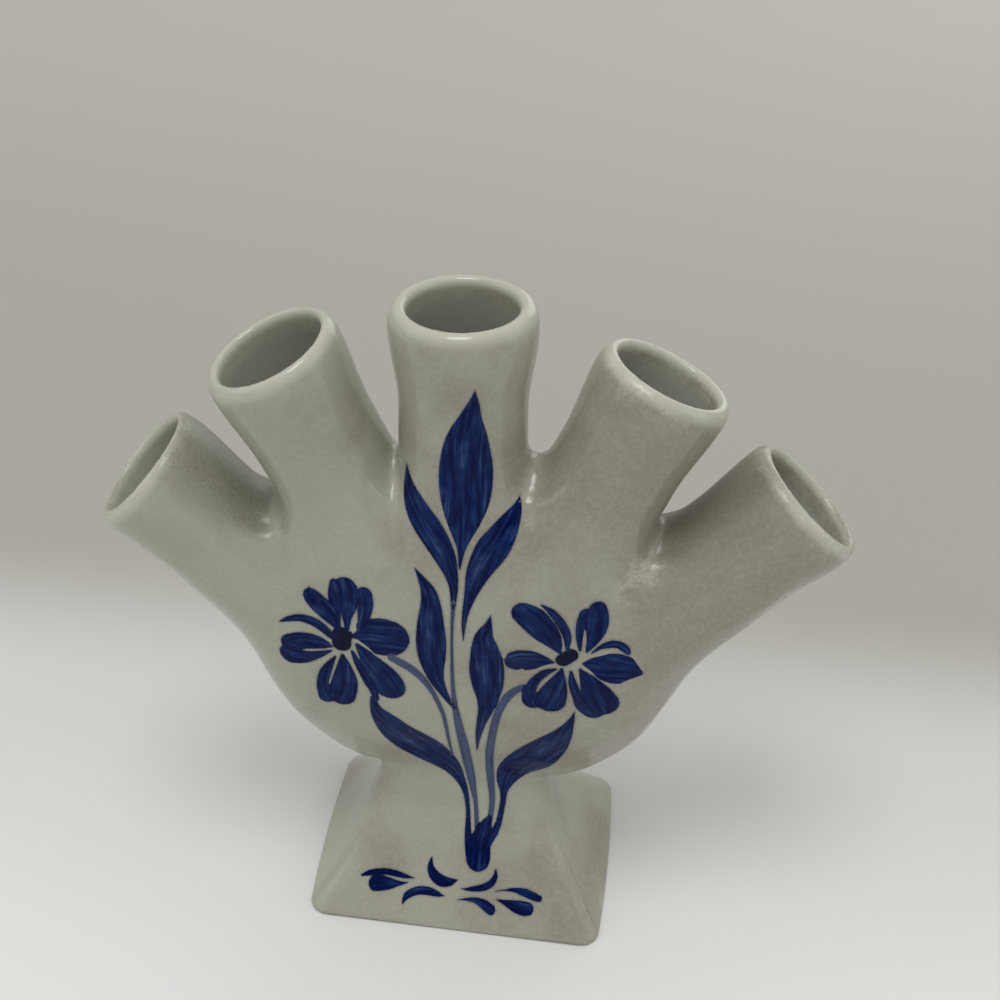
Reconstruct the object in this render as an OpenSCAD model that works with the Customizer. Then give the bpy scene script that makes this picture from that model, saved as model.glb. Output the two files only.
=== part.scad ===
// Five-fingered flower vase (quintal) of grey glazed stoneware.
// A hollow foot carries a body pressed in two halves. Five short spouts are luted
// onto the shoulder in a fan, and a coil of clay is worked into each crotch between them.
// Units are millimetres, +Z is up, the front faces -Y, and the origin is on the table
// under the middle of the foot.

/* [Foot] */
// Width of the foot where it stands
foot_w = 71; // [60:1:90]
// Depth of the foot where it stands, front to back
foot_d = 54; // [44:1:70]
// Height of the foot, up to the waist
foot_h = 33; // [26:0.5:38]
// Thickness of the foot's sloping walls
foot_wall = 5; // [3.5:0.5:7]
// Thickness of the floor that closes the top of the foot
floor_t = 5; // [3:0.5:8]
// Squareness of the foot's plan at the table, higher is squarer
foot_squareness = 12; // [6:1:16]
// How far the sloping sides hollow inwards
foot_hollow = 2.4; // [0:0.2:5]
// Rounding of the edge that stands on the table
foot_edge_r = 1.2; // [0.6:0.2:2]

/* [Waist] */
// Width of the waist, where the body stands on the foot
waist_w = 39; // [30:1:46]
// Depth of the waist, front to back
waist_d = 22; // [20:1:30]
// Squareness of the waist's plan, higher is squarer
waist_squareness = 4; // [2.5:0.5:8]

/* [Body] */
// Width of the body at the belly
belly_w = 87; // [78:1:98]
// Height of the belly above the table
belly_h = 52.5; // [46:0.5:60]
// Depth of the body at the belly, front to back
belly_d = 33; // [28:1:40]
// How far the flat underside runs out from the waist before it turns up
underside_run = 9; // [6:1:16]
// How far the underside dips as it leaves the waist
underside_dip = 0.5; // [0:0.1:2]
// Steepness of the body's side at the belly, in degrees from level
belly_slope = 65; // [50:1:80]
// Height above the foot at which the body reaches its full depth
full_depth_rise = 32; // [24:1:40]
// How far in from the body's edge its two faces round over
edge_round = 15; // [11:0.5:18]
// Thickness of the body's walls
body_wall = 4; // [3:0.5:6]

/* [Fan of spouts] */
// Height of the point from which the five spouts fan out
fan_h = 52; // [46:1:58]
// Angle of the centre spout from upright, positive to the right
centre_angle = -0.6; // [-1.5:0.1:1.5]
// Angle of the two inner spouts from upright
inner_angle = 24; // [22:0.1:28]
// Angle of the two outer spouts from upright
outer_angle = 50; // [47:0.1:56]
// How far the outer spouts turn up from the line of the fan, in degrees
outer_turn = 4.5; // [0:0.5:6]
// Gap between neighbouring spouts at the shoulder
crotch_gap = 1.4; // [1:0.1:3]
// Half the depth of the web of clay between two spouts at the shoulder
web_half_d = 6.5; // [4:0.5:9]
// How far the worked coil fills each crotch above the shoulder
coil_rise = 2.8; // [2:0.2:5]

/* [Spouts] */
// Height of the centre spout's mouth above the table
height = 156; // [145:1:175]
// Reach of the far left spout, counted along it from the fan's centre
reach_far_left = 94; // [88:0.5:105]
// Reach of the left spout, counted along it from the fan's centre
reach_left = 102; // [92:0.5:110]
// Reach of the right spout, counted along it from the fan's centre
reach_right = 98.5; // [92:0.5:110]
// Reach of the far right spout, counted along it from the fan's centre
reach_far_right = 96; // [88:0.5:105]
// Outer radius of the centre spout at its root
centre_r = 13.3; // [12:0.1:15]
// Outer radius of the inner spouts at their root
inner_r = 13.4; // [12:0.1:15]
// Outer radius of the outer spouts at their root
outer_r = 13.8; // [12:0.1:16]
// Wall of the spouts at their root
spout_wall = 2.8; // [2:0.2:4]
// Radius of the opening at each mouth
mouth_bore_r = 11.6; // [10:0.1:13]
// Wall of the rolled lip of the centre spout
centre_lip_wall = 3.1; // [2.4:0.1:4.5]
// Wall of the rolled lips of the other four spouts
side_lip_wall = 2.7; // [2.2:0.1:4.5]
// Length over which each spout widens to its lip
flare_len = 16; // [10:1:18]

/* [Lean of the spouts] */
// Forward lean of the far left spout, in degrees
lean_far_left = 4; // [-10:0.5:10]
// Forward lean of the left spout, in degrees
lean_left = 5; // [-10:0.5:10]
// Forward lean of the centre spout, in degrees
lean_centre = -2; // [-10:0.5:10]
// Forward lean of the right spout, in degrees
lean_right = -9; // [-10:0.5:10]
// Forward lean of the far right spout, in degrees
lean_far_right = -9; // [-10:0.5:10]

/* [Joints] */
// Film of slip in each luted joint between curved faces
slip = 0.1; // [0.05:0.05:0.3]

/* [Hidden] */
$fn = 240;

clay = "#b7b6aa";
clay_light = "#c0bfb4";
clay_dark = "#a9a89c";

// One entry per spout, from left to right
angles = [-outer_angle, -inner_angle, centre_angle, inner_angle, outer_angle];
radii = [outer_r, inner_r, centre_r, inner_r, outer_r];
leans = [lean_far_left, lean_left, lean_centre, lean_right, lean_far_right];
turns = [outer_turn, 0, 0, 0, -outer_turn];
reaches = [reach_far_left, reach_left, height - fan_h, reach_right, reach_far_right];
lip_walls = [side_lip_wall, side_lip_wall, centre_lip_wall, side_lip_wall, side_lip_wall];
last = len(angles) - 1;

// The shoulder is part of a cylinder about the fan's centre, just wide enough for the spouts
function pair_seat(i) =
    (radii[i] + radii[i + 1] + crotch_gap) / (2 * sin((angles[i + 1] - angles[i]) / 2));
seat_r = max([for (i = [0:last - 1]) pair_seat(i)]);

// Half the angle that the whole shoulder spans
shoulder_angle = outer_angle + asin(outer_r / seat_r);

// Fineness of the lofted and turned shapes
foot_rings = 11;
foot_sides = 64;
edge_steps = 3;
body_levels = 24;
steps_per_spout = 10;
lip_steps = 8;
flare_steps = 6;

// Shares along the body, from 0 at the waist to 1 at the shoulder
belly_at = 0.5;
waist_plan_to = 0.15;
roots_from = 0.8;
bores_full_by = 0.96;

// How strongly the curves of the body's side hold to their end directions
lower_pull = 0.55;
upper_pull = 0.5;
shoulder_pull = 0.22;
// How late the body's level sections bow up into the shoulder's arc
bow_power = 1.3;
// Shares of the way from the fan's centre to the shoulder where the body starts and ends to slim
slim_from = 0.55;
slim_to = 0.98;
// How far the body slims towards the roots of the spouts, on each face
shoulder_slim = max(0, belly_d / 2 - inner_r + 1);
// How crisply the spouts' roots stand out of the web between them
root_crispness = 6;

// Small helpers
function mix(a, b, k) = a + (b - a) * k;
function clamp01(v) = min(1, max(0, v));
function ease(v) = let (c = clamp01(v)) c * c * (3 - 2 * c);
function sum(list, i = 0) = i < len(list) ? list[i] + sum(list, i + 1) : 0;
function bezier(p, k) =
    p[0] * pow(1 - k, 3) + p[1] * 3 * k * pow(1 - k, 2) + p[2] * 3 * k * k * (1 - k) + p[3] * pow(k, 3);
function signed_pow(v, e) = sign(v) * pow(abs(v), e);

// Quads between two rows of points, as faces of a polyhedron
function quad_strip(a, b, count, flip) = [
    for (i = [0:count - 1], half = [0, 1])
        let (f = half == 0 ? [a + i, a + i + 1, b + i] : [a + i + 1, b + i + 1, b + i])
        flip ? [f[2], f[1], f[0]] : f
];

// Foot: a hollow pedestal lofted through squared ovals, closed at the top by its floor

// Plan of the foot at height share k, drawn in by an inset
function foot_half(k, wide, waist, inset) =
    mix(wide, waist, k) / 2 - foot_hollow * sin(180 * k) - inset;
function foot_ring(k, z, inset) =
    let (a = foot_half(k, foot_w, waist_w, inset),
         b = foot_half(k, foot_d, waist_d, inset),
         n = mix(foot_squareness, waist_squareness, sqrt(k)))
    [for (i = [0:foot_sides - 1])
        let (q = 360 * i / foot_sides)
        [a * signed_pow(cos(q), 2 / n), b * signed_pow(sin(q), 2 / n), z]];

module foot() {
    hollow_h = foot_h - floor_t;
    outside = concat(
        [for (j = [0:edge_steps - 1])
            let (q = 90 * j / edge_steps)
            foot_ring(0, foot_edge_r * (1 - cos(q)), foot_edge_r * (1 - sin(q)))],
        [for (j = [0:foot_rings])
            let (z = mix(foot_edge_r, foot_h, j / foot_rings))
            foot_ring((z - foot_edge_r) / (foot_h - foot_edge_r), z, 0)]);
    inside = [for (j = [foot_rings:-1:0])
        let (z = hollow_h * j / foot_rings)
        foot_ring(z / foot_h, z, foot_wall)];
    n_out = len(outside);
    n_in = len(inside);
    m = foot_sides;
    function at(row, i) = row * m + i % m;
    function wall(r0, r1) = [
        for (i = [0:m - 1], half = [0, 1])
            half == 0 ? [at(r0, i), at(r1, i), at(r0, i + 1)]
                      : [at(r0, i + 1), at(r1, i), at(r1, i + 1)]
    ];
    faces = concat(
        [for (j = [0:n_out - 2]) each wall(j, j + 1)],
        [[for (i = [m - 1:-1:0]) at(n_out - 1, i)]],
        [[for (i = [0:m - 1]) at(n_out, i)]],
        [for (j = [n_out:n_out + n_in - 2]) each wall(j, j + 1)],
        wall(n_out + n_in - 1, 0));
    color(clay_dark) polyhedron([for (ring = concat(outside, inside)) each ring], faces);
}

// Body: two pressed halves that meet on the middle plane

// Side of the body in the middle plane, from the waist round the belly to the shoulder
shoulder_end = [seat_r * sin(shoulder_angle), fan_h + seat_r * cos(shoulder_angle)];
belly_end = [belly_w / 2, belly_h];
belly_dir = [cos(belly_slope), sin(belly_slope)];
spout_dir = [sin(outer_angle), cos(outer_angle)];
lower_side = [
    [waist_w / 2, foot_h],
    [waist_w / 2 + underside_run, foot_h - underside_dip],
    belly_end - belly_dir * (belly_h - foot_h) * lower_pull,
    belly_end
];
upper_side = [
    belly_end,
    belly_end + belly_dir * (belly_h - foot_h) * upper_pull,
    shoulder_end - spout_dir * norm(shoulder_end - belly_end) * shoulder_pull,
    shoulder_end
];
function side(t) =
    t < belly_at ? bezier(lower_side, t / belly_at) : bezier(upper_side, (t - belly_at) / (1 - belly_at));

// Each level is a fan-shaped section that bows from level at the waist to the shoulder's arc
function level_angle(t) = shoulder_angle * pow(t, bow_power);
function middle_point(s, t) =
    let (e = side(t), q = level_angle(t))
    q == 0 ? [e[0] * s, e[1]]
           : [e[0] * sin(q * s) / sin(q), e[1] + e[0] * (cos(q * s) - cos(q)) / sin(q)];

// Half depth of the five spouts' roots, or of their bores, along the shoulder
function roots(q, inset) =
    [for (i = [0:last])
        let (h = pow(radii[i] - inset, 2) - pow(seat_r * sin(q - angles[i]), 2))
        h > 0 ? sqrt(h) : 0];
function blend_max(list) = pow(sum([for (v = list) pow(v, root_crispness)]), 1 / root_crispness);
function oval(s, n) = abs(s) >= 1 ? 0 : pow(1 - pow(abs(s), n), 1 / n);

// How far a point of the middle plane lies in from the body's side
side_points = [for (j = [0:body_levels]) side(j / body_levels)];
function to_segment(p, a, b) =
    let (run = b - a, k = clamp01((p - a) * run / (run * run)))
    norm(p - a - run * k);
function from_edge(p) =
    let (mirrored = [abs(p[0]), p[1]])
    min([for (j = [0:body_levels - 1]) to_segment(mirrored, side_points[j], side_points[j + 1])]);

// The two faces are flat like a palm, slim towards the spouts, and round over near the edge
function slimming(p) =
    ease((norm(p - [0, fan_h]) / seat_r - slim_from) / (slim_to - slim_from))
    * ease((p[1] - foot_h) / full_depth_rise - 0.5);
function half_depth(p) =
    mix(waist_d, belly_d, ease((p[1] - foot_h) / full_depth_rise)) / 2 - shoulder_slim * slimming(p);
function rounded(d, r) = let (over = 1 - clamp01(d / r)) sqrt(1 - over * over);

function outer_y(s, t) =
    let (p = middle_point(s, t),
         pillow = rounded(from_edge(p), edge_round),
         palm = half_depth(p) * mix(oval(s, waist_squareness), pillow, ease(t / waist_plan_to)),
         web = web_half_d * oval(s, 8),
         fingers = abs(s) >= 1 ? 0 : blend_max(concat(roots(shoulder_angle * s, 0), [web])))
    mix(palm, fingers, ease((t - roots_from) / (1 - roots_from)));

// The chamber inside keeps the wall's thickness and divides into the five bores
function inner_y(s, t) =
    let (p = middle_point(s, t),
         chamber = (half_depth(p) - body_wall) * rounded(from_edge(p) - body_wall, edge_round - body_wall),
         bores = max(roots(shoulder_angle * s, spout_wall)))
    mix(chamber, bores, ease((t - roots_from) / (bores_full_by - roots_from)));

// Places across the shoulder, closer together at the sides of each spout
function spout_half(i, way) =
    i + way < 0 || i + way > last ? shoulder_angle - outer_angle : abs(angles[i + way] - angles[i]) / 2;
across = concat([-1], [
    for (i = [0:last], j = [1:steps_per_spout])
        let (u = sin(180 * j / steps_per_spout - 90))
        (angles[i] + u * spout_half(i, u < 0 ? -1 : 1)) / shoulder_angle
]);

module body_half(front) {
    m = len(across) - 1;
    way = front ? -1 : 1;
    levels = [for (j = [0:body_levels]) j / body_levels];
    function point(s, t, y) = let (p = middle_point(s, t)) [p[0], way * (y + slip / 2), p[1]];
    outside = [for (t = levels) each [for (s = across) point(s, t, outer_y(s, t))]];
    inside = [for (t = levels) each [for (s = across) point(s, t, inner_y(s, t))]];
    half = len(outside);
    function row(j) = j * (m + 1);
    // The two skins share their points along the left and right edges
    function shared(v) =
        v >= half && ((v - half) % (m + 1) == 0 || (v - half) % (m + 1) == m) ? v - half : v;
    skins = concat(
        [for (j = [0:body_levels - 1]) each quad_strip(row(j), row(j + 1), m, front)],
        [for (j = [0:body_levels - 1]) each quad_strip(half + row(j), half + row(j + 1), m, !front)],
        quad_strip(row(0), half + row(0), m, !front),
        quad_strip(row(body_levels), half + row(body_levels), m, front));
    joined = [for (f = skins) [for (v = f) shared(v)]];
    faces = [for (f = joined) if (f[0] != f[1] && f[1] != f[2] && f[2] != f[0]) f];
    polyhedron(concat(outside, inside), faces);
}

module body_front() {
    color(clay) body_half(true);
}

module body_back() {
    color(clay_light) body_half(false);
}

// Spouts: turned tubes with a rolled lip, cut to sit on the shoulder

// Puts a shape on a spout's axis, with its seat on the shoulder at height 0
module on_axis(i) {
    translate([0, 0, fan_h])
        rotate([0, angles[i], 0])
            translate([0, 0, seat_r])
                rotate([leans[i], turns[i], 0])
                    children();
}

// Round bar along the depth of the vase, at a distance from the fan's centre
module cross_bar(r, angle, distance) {
    translate([0, 0, fan_h])
        rotate([0, angle, 0])
            translate([0, 0, distance])
                rotate([90, 0, 0])
                    cylinder(r = r, h = 4 * outer_r, center = true);
}

module spout(i) {
    reach = reaches[i] - seat_r;
    root_r = radii[i];
    root_bore_r = root_r - spout_wall;
    lip_r = lip_walls[i] / 2;
    mouth_r = mouth_bore_r + 2 * lip_r;
    flare_top = reach - lip_r;
    below = root_r / 2;
    outline = concat(
        [[root_bore_r, -below], [root_r, -below]],
        [for (j = [0:flare_steps])
            [mix(root_r, mouth_r, ease(j / flare_steps)), flare_top - flare_len * (1 - j / flare_steps)]],
        [for (j = [1:lip_steps])
            let (q = 180 * j / lip_steps)
            [mouth_bore_r + lip_r + lip_r * cos(q), flare_top + lip_r * sin(q)]]);
    difference() {
        on_axis(i) rotate_extrude() polygon(outline);
        cross_bar(seat_r + slip, 0, 0);
    }
}

module spout_far_left() {
    color(clay) spout(0);
}

module spout_left() {
    color(clay_light) spout(1);
}

module spout_centre() {
    color(clay) spout(2);
}

module spout_right() {
    color(clay_light) spout(3);
}

module spout_far_right() {
    color(clay) spout(4);
}

// Crotch coils: clay worked down into a rounded saddle between two spouts
module crotch_coil(i) {
    groove_r = crotch_gap * 1.3;
    groove_lift = groove_r * 0.4;
    middle = angles[i] + asin((radii[i] + crotch_gap / 2) / seat_r);
    difference() {
        translate([0, 0, fan_h])
            rotate([0, middle, 0])
                translate([0, 0, seat_r + coil_rise - web_half_d])
                    sphere(r = web_half_d);
        cross_bar(seat_r + slip, 0, 0);
        for (k = [i, i + 1])
            on_axis(k) cylinder(r = radii[k] + slip, h = 8 * coil_rise, center = true);
        cross_bar(groove_r, middle, seat_r + coil_rise + groove_lift);
    }
}

module crotch_coil_far_left() {
    color(clay_dark) crotch_coil(0);
}

module crotch_coil_left() {
    color(clay_dark) crotch_coil(1);
}

module crotch_coil_right() {
    color(clay_dark) crotch_coil(2);
}

module crotch_coil_far_right() {
    color(clay_dark) crotch_coil(3);
}

foot();
body_front();
body_back();
spout_far_left();
spout_left();
spout_centre();
spout_right();
spout_far_right();
crotch_coil_far_left();
crotch_coil_left();
crotch_coil_right();
crotch_coil_far_right();
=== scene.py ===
# %% [markdown]
# # A five-mouthed flower vase in grey stoneware
# The object is a quintal: a flat, hand-shaped vase on a flared foot, with five tubes that fan out
# from a swollen body. It is soft clay luted together and smoothed by hand, so no edge on it is
# sharp and no seam shows. The lesson builds that clay as one smooth form, cuts it into the twelve
# pieces a potter would put together, glazes them and then paints the cobalt flowers on the front.
#
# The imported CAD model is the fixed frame. Everything here stands in the same place, in metres.

# %% Load the frame
import math
import bpy
import numpy as np
from mathutils import Matrix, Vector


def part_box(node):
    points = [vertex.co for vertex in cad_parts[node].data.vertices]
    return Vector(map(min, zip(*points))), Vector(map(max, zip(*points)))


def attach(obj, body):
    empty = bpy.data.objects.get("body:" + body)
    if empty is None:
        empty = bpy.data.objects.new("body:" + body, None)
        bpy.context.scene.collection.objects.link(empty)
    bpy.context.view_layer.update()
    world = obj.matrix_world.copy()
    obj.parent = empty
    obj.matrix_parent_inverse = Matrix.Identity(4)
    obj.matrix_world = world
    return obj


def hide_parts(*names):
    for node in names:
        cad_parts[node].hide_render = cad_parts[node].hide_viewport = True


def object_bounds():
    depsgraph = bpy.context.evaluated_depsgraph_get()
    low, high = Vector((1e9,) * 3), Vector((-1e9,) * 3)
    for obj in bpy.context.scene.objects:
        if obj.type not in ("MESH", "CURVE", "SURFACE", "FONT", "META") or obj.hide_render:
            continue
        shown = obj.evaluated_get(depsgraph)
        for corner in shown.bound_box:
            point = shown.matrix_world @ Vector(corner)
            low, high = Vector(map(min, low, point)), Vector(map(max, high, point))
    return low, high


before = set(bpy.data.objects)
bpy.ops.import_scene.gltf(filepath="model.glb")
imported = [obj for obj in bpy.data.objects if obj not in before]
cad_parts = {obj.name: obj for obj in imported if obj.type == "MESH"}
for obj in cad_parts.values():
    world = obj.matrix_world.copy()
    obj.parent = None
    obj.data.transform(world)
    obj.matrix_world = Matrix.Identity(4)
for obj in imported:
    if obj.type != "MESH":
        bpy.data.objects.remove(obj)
cad_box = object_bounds()
foot_low, foot_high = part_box("foot")
print("CAD box, mm:", [round(v * 1000, 1) for corner in cad_box for v in corner])

# %% [markdown]
# ## The camera
# The photograph looks down on the vase from the front, a little from its right. A camera can be
# placed by eye, or worked out from known points. Here the five round mouths and the square foot
# were enough to work it out, so it gets a place, three turns and a lens, and no shift.

# %% Place the camera
MM = 0.001
EYE = (35.5, -254.0, 298.0)
TURN, TILT, ROLL = 6.41, 53.65, 0.99
LENS, SENSOR = 54.0, 36.0

view = bpy.data.cameras.new("photo_view")
view.lens, view.sensor_width = LENS, SENSOR
view.clip_start, view.clip_end = 0.01, 20.0
eye = bpy.data.objects.new("photo_view", view)
bpy.context.scene.collection.objects.link(eye)
eye.matrix_world = (
    Matrix.Translation([v * MM for v in EYE])
    @ Matrix.Rotation(math.radians(TURN), 4, "Z")
    @ Matrix.Rotation(math.radians(TILT), 4, "X")
    @ Matrix.Rotation(math.radians(ROLL), 4, "Z")
)
bpy.context.scene.camera = eye
print("camera at", [round(v, 3) for v in eye.location])

# %% [markdown]
# ## Clay as a distance field
# Tubes that melt into a palm could be modelled with subdivision surfaces or sculpted after a
# remesh. A distance field suits this pot better: each part is a formula that is negative inside
# the clay and positive outside, and a smooth minimum of two formulas is what a thumb does to a
# joint. Sizes in the field are millimetres, and the foot's come from the frame.

# %% Helpers for smooth joints
def smooth_min(a, b, fillet):
    share = np.clip(0.5 + 0.5 * (b - a) / fillet, 0, 1)
    return b + (a - b) * share - fillet * share * (1 - share)


def smooth_max(a, b, fillet):
    return -smooth_min(-a, -b, fillet)


def ease(v):
    v = np.clip(v, 0, 1)
    return v * v * (3 - 2 * v)


def bezier(start, pull_1, pull_2, end, count):
    t = np.linspace(0, 1, count)[:, None]
    points = [np.array(p, float) for p in (start, pull_1, pull_2, end)]
    weights = [(1 - t) ** 3, 3 * t * (1 - t) ** 2, 3 * t * t * (1 - t), t ** 3]
    return sum(w * p for w, p in zip(weights, points))


print("a 4 mm fillet fills a corner by %.1f mm" % -smooth_min(0.0, 0.0, 4.0))

# %% [markdown]
# ## The palm
# The body is a hollow palm, flat like a hand: narrow at the neck, widest below the fingers. A
# flattened ball would be too round, so the outline is drawn on the front plane, with two Bezier
# curves a side and an arc through the roots of the fingers. The distance to that outline is then
# inflated: the clay is full depth in the middle and rounds over towards the edge, like a pillow.

# %% Outline the palm
FOOT_H = foot_high.z / MM
WAIST_W, WAIST_D = 39.0, 22.0
BELLY_X, BELLY_Z, BELLY_DEPTH = 43.5, 52.5, 16.5
FAN_Z, ROOT_R = 52.0, 69.3
FINGERS = {
    "far_left": dict(angle=-51.0, axis=-43.0, mouth=-48.0, lean=4.0, reach=93.9,
                     root=13.7, lip=14.8, bore=11.6, crotch=2.0),
    "left": dict(angle=-24.0, axis=-21.6, mouth=-24.0, lean=5.0, reach=101.8,
                 root=13.3, lip=14.5, bore=11.4, crotch=2.0),
    "centre": dict(angle=-0.6, axis=-0.6, mouth=-0.6, lean=-2.0, reach=104.0,
                   root=13.4, lip=15.0, bore=11.1, crotch=2.5),
    "right": dict(angle=24.0, axis=25.0, mouth=24.2, lean=-8.7, reach=98.7,
                  root=13.4, lip=14.5, bore=11.2, crotch=5.0),
    "far_right": dict(angle=49.6, axis=47.3, mouth=43.0, lean=-8.6, reach=96.2,
                      root=13.7, lip=15.0, bore=11.9, crotch=3.0),
}
CROTCH_TURNS, CROTCH_REACH = (-37.5, -12.0, 12.0, 37.0), (67.5, 66.0, 68.0, 67.0)
NECK_STEPS = ((2.0, 11.0), (0.5, 3.0))
WAIST_PULL = (9.0, -0.5)
BELLY_RISE, PULL_BELOW, PULL_ABOVE = math.radians(65), 10.7, 9.75
SHOULDER_UP, SHOULDER_IN, SHOULDER_PULL = 8.0, 6.5, 5.0


def palm_outline():
    outer = FINGERS["far_right"]
    along = math.radians(outer["angle"])
    spout = np.array([math.sin(along), math.cos(along)])
    below = np.array([math.cos(along), -math.sin(along)])
    shoulder = np.array([0, FAN_Z]) + (ROOT_R + SHOULDER_UP) * spout
    shoulder = shoulder + (outer["root"] - SHOULDER_IN) * below
    belly = np.array([BELLY_X, BELLY_Z])
    rise = np.array([math.cos(BELLY_RISE), math.sin(BELLY_RISE)])
    waist = np.array([WAIST_W / 2, FOOT_H])
    neck = waist - np.array(NECK_STEPS)
    under = bezier(waist, waist + WAIST_PULL, belly - PULL_BELOW * rise, belly, 12)
    side = bezier(belly, belly + PULL_ABOVE * rise, shoulder - SHOULDER_PULL * spout, shoulder, 10)
    right = np.concatenate([neck, under, side[1:]])
    turn = np.linspace(along, -along, 25)
    web = np.interp(np.degrees(turn), CROTCH_TURNS, CROTCH_REACH)
    arc = np.stack([web * np.sin(turn), FAN_Z + web * np.cos(turn)], 1)
    return np.concatenate([right, arc, right[::-1] * [-1, 1]])


def outline_distance(outline, x, z):
    nearest, inside = 1e9, False
    for p, q in zip(outline, np.roll(outline, -1, 0)):
        run = q - p
        from_x, from_z = x - p[0], z - p[1]
        t = np.clip((from_x * run[0] + from_z * run[1]) / (run @ run), 0, 1)
        nearest = np.minimum(nearest, (from_x - t * run[0]) ** 2 + (from_z - t * run[1]) ** 2)
        if p[1] != q[1]:
            crosses = ((p[1] > z) != (q[1] > z)) & (from_x < from_z * run[0] / run[1])
            inside = inside ^ crosses
    return np.where(inside, -1, 1) * np.sqrt(nearest)


OUTLINE = palm_outline()
print("palm outline:", len(OUTLINE), "points")

# %% Inflate the palm
SWELL_H, PILLOW_MM = 32.0, 13.0
TOP_THINNER, THIN_FROM, THIN_OVER, THIN_Z, THIN_RISE = 4.0, 38.0, 30.0, 48.0, 25.0
EDGE_ROUND, NECK_TIGHTER, NECK_TOP, NECK_FADE = 15.0, 4.0, 45.0, 12.0


def palm(x, y, z):
    edge_distance = outline_distance(OUTLINE, x, z)
    from_fan = np.hypot(x, z - FAN_Z)
    depth = WAIST_D / 2 + (BELLY_DEPTH - WAIST_D / 2) * ease((z - FOOT_H) / SWELL_H)
    thinning = ease((from_fan - THIN_FROM) / THIN_OVER) * ease((z - THIN_Z) / THIN_RISE)
    depth = depth - TOP_THINNER * thinning
    rounding = EDGE_ROUND - NECK_TIGHTER * ease((NECK_TOP - z) / NECK_FADE)
    over_edge = np.clip(1 + edge_distance / rounding, 0, None)
    return (np.sqrt(over_edge ** 2 + (y / depth) ** 2) - 1) * PILLOW_MM


print("palm: %.0f mm deep at the belly, %.0f at the waist" % (2 * BELLY_DEPTH, WAIST_D))

# %% [markdown]
# ## The fingers
# Each mouth is a tube thrown or rolled by itself and set into the shoulder, so each leans a little
# its own way. A bevelled curve would make a tube, but it would meet the palm in a hard line. Here a
# tube is the distance to a tilted axis less a radius, and the radius swells towards the lip. The
# same axis with a smaller radius is the bore, which runs down into the palm.

# %% Set the five fingers on the shoulder
FLARE, BULB, TURN_IN = 22.0, 5.0, 0.45
TAIL, SINK = 36.0, 6.0
FINGER_WALL = 2.8
LIP_ROUND, TAIL_ROUND, BORE_ROUND = 3.2, 8.0, 6.0


def pointing(turn, lean):
    turn, lean = math.radians(turn), math.radians(lean)
    flat = math.cos(lean)
    return np.array([math.sin(turn) * flat, -math.sin(lean), math.cos(turn) * flat])


def finger_axis(finger):
    root = np.array([0.0, 0.0, FAN_Z]) + ROOT_R * pointing(finger["angle"], 0)
    return root, pointing(finger["axis"], finger["lean"])


def above_mouth(finger, x, y, z):
    root, way = finger_axis(finger)
    middle = root + way * (finger["reach"] - ROOT_R)
    face = pointing(finger["mouth"], finger["lean"])
    return (x - middle[0]) * face[0] + (y - middle[1]) * face[1] + (z - middle[2]) * face[2]


def finger_fields(finger, x, y, z):
    root, way = finger_axis(finger)
    dx, dy, dz = x - root[0], y - root[1], z - root[2]
    along = dx * way[0] + dy * way[1] + dz * way[2]
    radius = np.sqrt(np.maximum(dx * dx + dy * dy + dz * dz - along ** 2, 0))
    length = finger["reach"] - ROOT_R
    flare = ease((along - length + FLARE) / (FLARE - BULB))
    tail = SINK * ease(-along / TAIL)
    turn_in = TURN_IN * ease((along - length + BULB) / BULB)
    bulge = (finger["lip"] - finger["root"]) * flare - turn_in
    side = radius - finger["root"] - bulge + tail
    tube = smooth_max(side, above_mouth(finger, x, y, z), LIP_ROUND)
    tube = smooth_max(tube, -along - TAIL, TAIL_ROUND)
    neck = finger["root"] - FINGER_WALL
    bore = radius - neck - (finger["bore"] - neck) * flare + tail
    return tube, smooth_max(bore, -along - TAIL / 2, BORE_ROUND)


print("fingers:", ", ".join(FINGERS))

# %% [markdown]
# ## The foot
# The foot is a flared square pedestal, pressed in slabs, hollow and open below. Its faces sag in a
# little between the ridges. A loft would give that, but a field joins the palm with no seam. At
# each height it is a rectangle with round corners, and where it stands its sides bow out, a little
# more on the right, as soft clay does under weight.

# %% Shape the foot
FOOT_W, FOOT_D = ((foot_high - foot_low) / MM)[:2]
FOOT_WALL, FLOOR, FLOOR_ROUND = 4.5, 5.0, 5.0
SAG, BOW_SIDE, BOW_FRONT, SKEW = 2.4, 1.3, 0.7, 0.017
BOW_HALF, SKEW_HALF = 30.0, 40.0
LOW_CORNER, CORNER_GROWS = 4.5, 3.5
RING_ROUND, INTO_PALM, TOP_ROUND = 1.6, 5.0, 4.0
SLANT = 0.86


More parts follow.
